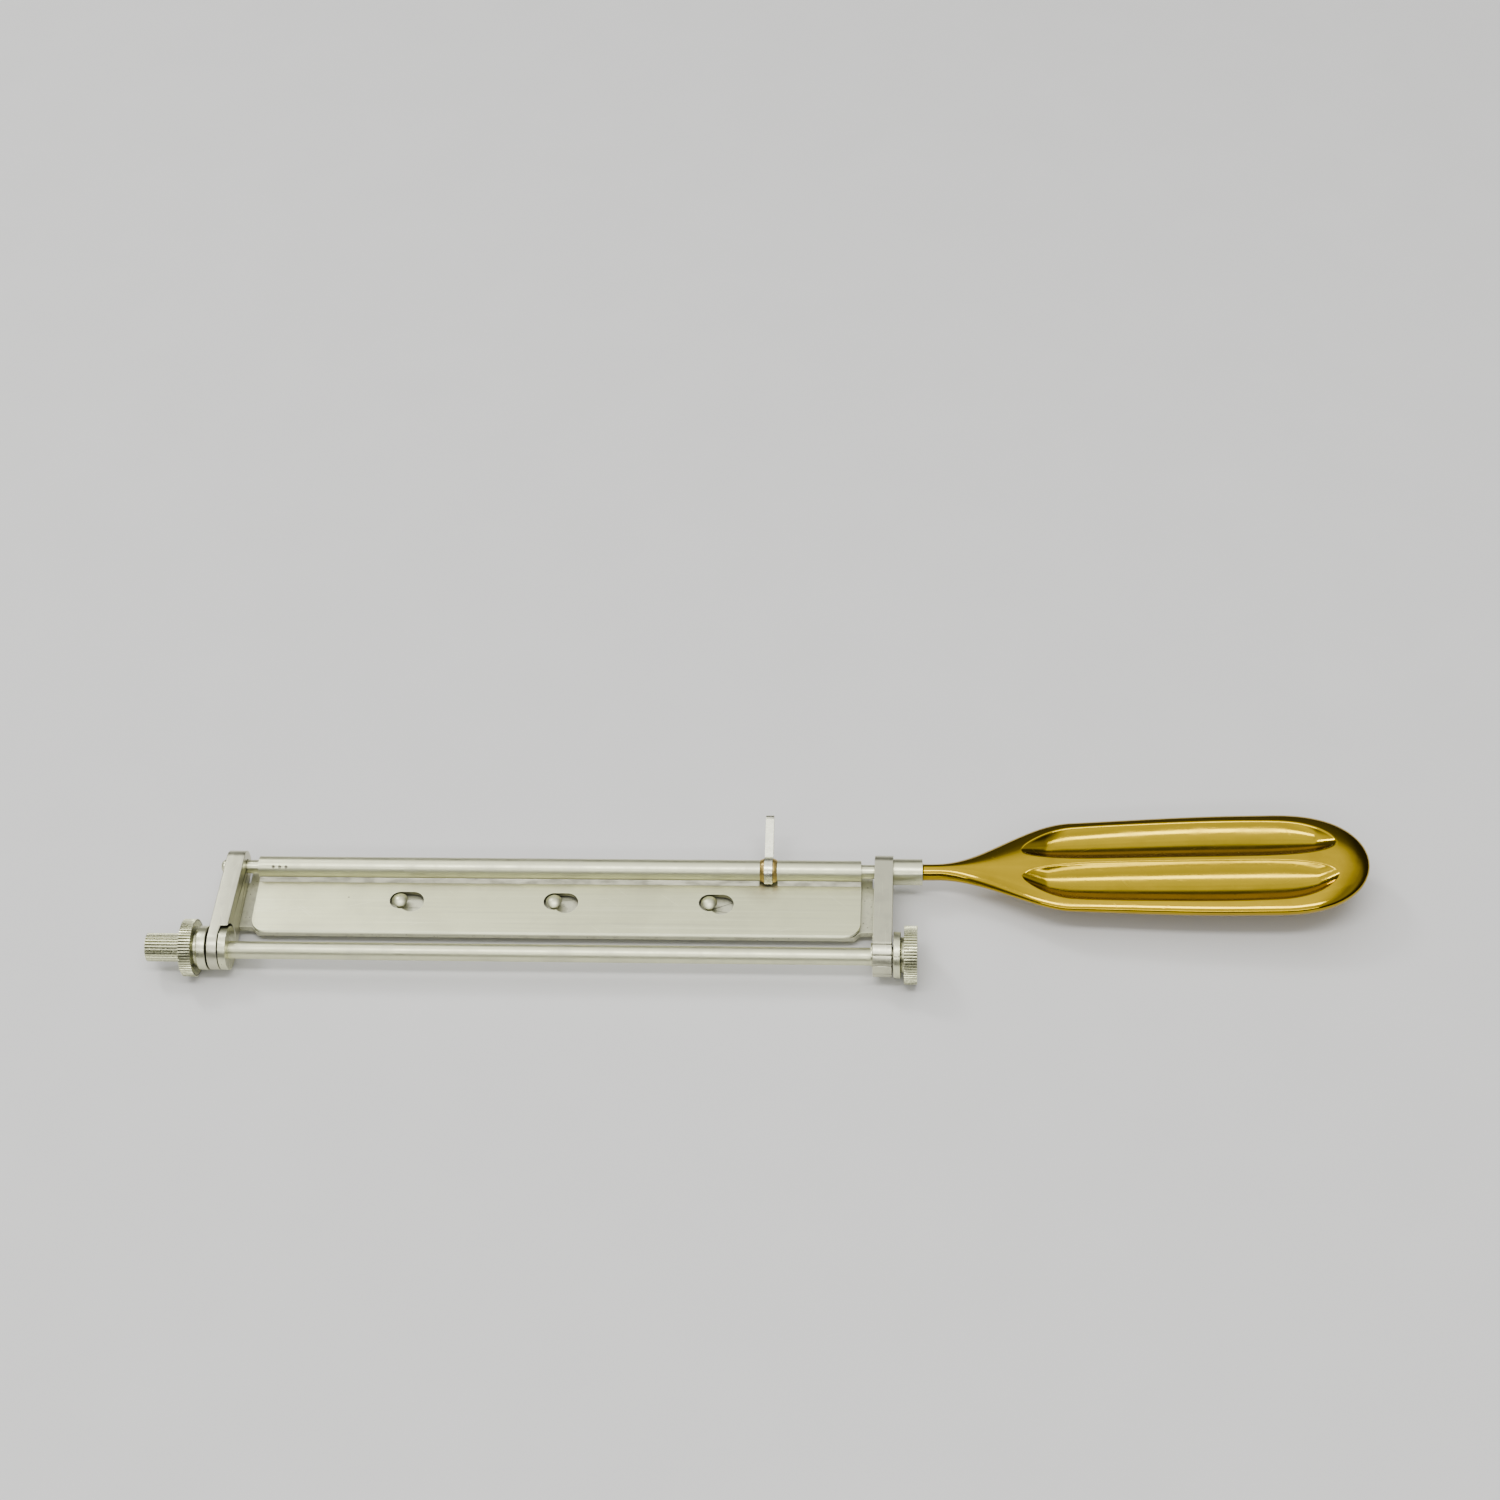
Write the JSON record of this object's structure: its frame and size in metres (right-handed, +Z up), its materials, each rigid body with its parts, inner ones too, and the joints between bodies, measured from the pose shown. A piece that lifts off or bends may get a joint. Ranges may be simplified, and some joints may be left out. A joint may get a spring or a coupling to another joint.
{
  "type": "skin grafting roller knife",
  "caption": "Roller knife with a flat blade carrier, a hinged cover plate, a guard roller on eccentric spindles with knurled lock nuts, and a fluted brass handle.",
  "frame": {"origin": "middle of the blade carrier's flat underside", "axes": "+X along the knife from the control knob to the handle, +Y from the guard roller to the hinge rod, +Z up through the cover plate"},
  "size_m": [0.312, 0.0496, 0.0153],
  "materials": {
    "satin_steel": "satin, bead-blasted stainless steel",
    "handle_brass": "mirror-polished brass",
    "braze": "dull braze metal, left as it flowed"
  },
  "bodies": {
    "frame": {"left_arm": "satin_steel", "right_arm": "satin_steel", "blade_carrier": "satin_steel", "blade_studs": "satin_steel", "ferrule": "satin_steel", "handle": "handle_brass"},
    "hinge_rod": {"pivot_rod": "satin_steel"},
    "cover": {"hinge_tube": "satin_steel", "cover_plate": "satin_steel", "cover_seam": "satin_steel", "lever": "satin_steel", "lever_braze": "braze"},
    "control_rod": {"guard_roller": "satin_steel", "left_spindle": "satin_steel", "right_spindle": "satin_steel", "control_knob": "satin_steel", "left_collar": "satin_steel", "right_collar": "satin_steel"},
    "left_nut": {"left_lock_nut": "satin_steel"},
    "right_nut": {"right_lock_nut": "satin_steel"}
  },
  "joints": [
    {"name": "cover_slide", "type": "slide", "parent": "frame", "child": "hinge_rod", "axis": [1, 0, 0], "range_m": [-0.0032, 0]},
    {"name": "cover_swing", "type": "hinge", "parent": "hinge_rod", "child": "cover", "pos_m": [0, 0.0091, 0.005], "axis": [-1, 0, 0], "range_deg": [0, 100]},
    {"name": "roller_setting", "type": "hinge", "parent": "frame", "child": "control_rod", "pos_m": [0, -0.0174, 0.005], "axis": [1, 0, 0], "range_deg": [0, 180]},
    {"name": "left_nut_turn", "type": "hinge", "parent": "control_rod", "child": "left_nut", "pos_m": [0, -0.0174, 0.005], "axis": [1, 0, 0], "range_deg": [0, 180]},
    {"name": "right_nut_turn", "type": "hinge", "parent": "control_rod", "child": "right_nut", "pos_m": [0, -0.0174, 0.005], "axis": [-1, 0, 0], "range_deg": [0, 180]}
  ]
}
